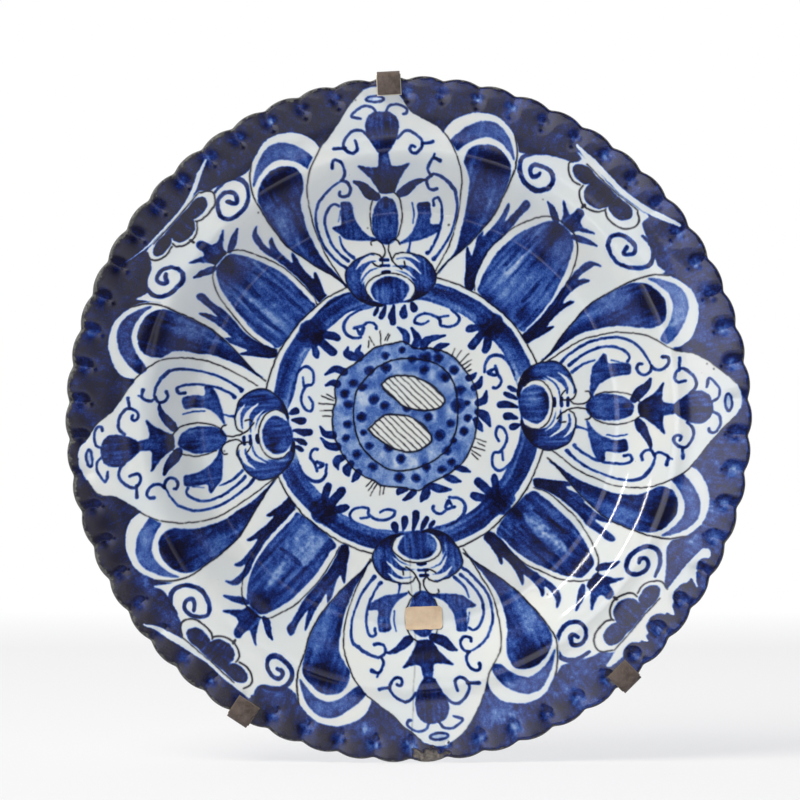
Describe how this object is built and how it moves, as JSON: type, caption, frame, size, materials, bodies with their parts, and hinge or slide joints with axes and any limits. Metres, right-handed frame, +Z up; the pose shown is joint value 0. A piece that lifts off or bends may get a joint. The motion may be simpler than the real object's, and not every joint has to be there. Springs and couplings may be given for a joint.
{
  "type": "scalloped dish",
  "caption": "Blue and white scalloped faience dish, held upright at its rim by a metal strip plate hanger whose top hook slides outwards to release it.",
  "frame": {"origin": "on the wall plane, straight behind the centre of the dish, on the back face of the hanger's spine", "axes": "the dish faces -Y, +X is to the right seen from the front, +Z is up, and +Y points into the wall"},
  "size_m": [0.3464, 0.045, 0.3486],
  "materials": {
    "glaze": "glossy white tin glaze, painted in cobalt blue, with pinholes and a worn edge",
    "label_paper": "matt tan paper",
    "hanger_strip": "worn brown lacquer on steel strip",
    "fastener_brass": "tarnished brass",
    "hook_lining": "thin pale felt"
  },
  "bodies": {
    "dish_and_hanger": {"dish": "glaze", "paper_label": "label_paper", "hanger_spine": "hanger_strip", "lower_left_arm": "hanger_strip", "lower_right_arm": "hanger_strip", "rivet_left_inner": "hanger_strip", "rivet_left_outer": "hanger_strip", "rivet_right_inner": "hanger_strip", "rivet_right_outer": "hanger_strip", "clamp_screw_lower": "fastener_brass", "washer_lower": "fastener_brass", "clamp_screw_upper": "fastener_brass", "washer_upper": "fastener_brass", "hook_lining_left": "hook_lining", "hook_lining_right": "hook_lining"},
    "top_hook_slider": {"top_hook": "hanger_strip", "hook_lining_top": "hook_lining"},
    "lower_nut": {"wing_nut_lower": "fastener_brass"},
    "upper_nut": {"wing_nut_upper": "fastener_brass"}
  },
  "joints": [
    {"name": "top_hook_slide", "type": "slide", "parent": "dish_and_hanger", "child": "top_hook_slider", "axis": [-0.0532, 0, 0.9986], "range_m": [0, 0.014]},
    {"name": "lower_nut_turn", "type": "hinge", "parent": "dish_and_hanger", "child": "lower_nut", "pos_m": [-0.00761, -0.005, 0.12297], "axis": [0, -1, 0], "range_deg": [0, 450]},
    {"name": "upper_nut_turn", "type": "hinge", "parent": "dish_and_hanger", "child": "upper_nut", "pos_m": [-0.00878, -0.005, 0.14494], "axis": [0, -1, 0], "range_deg": [0, 450]}
  ]
}
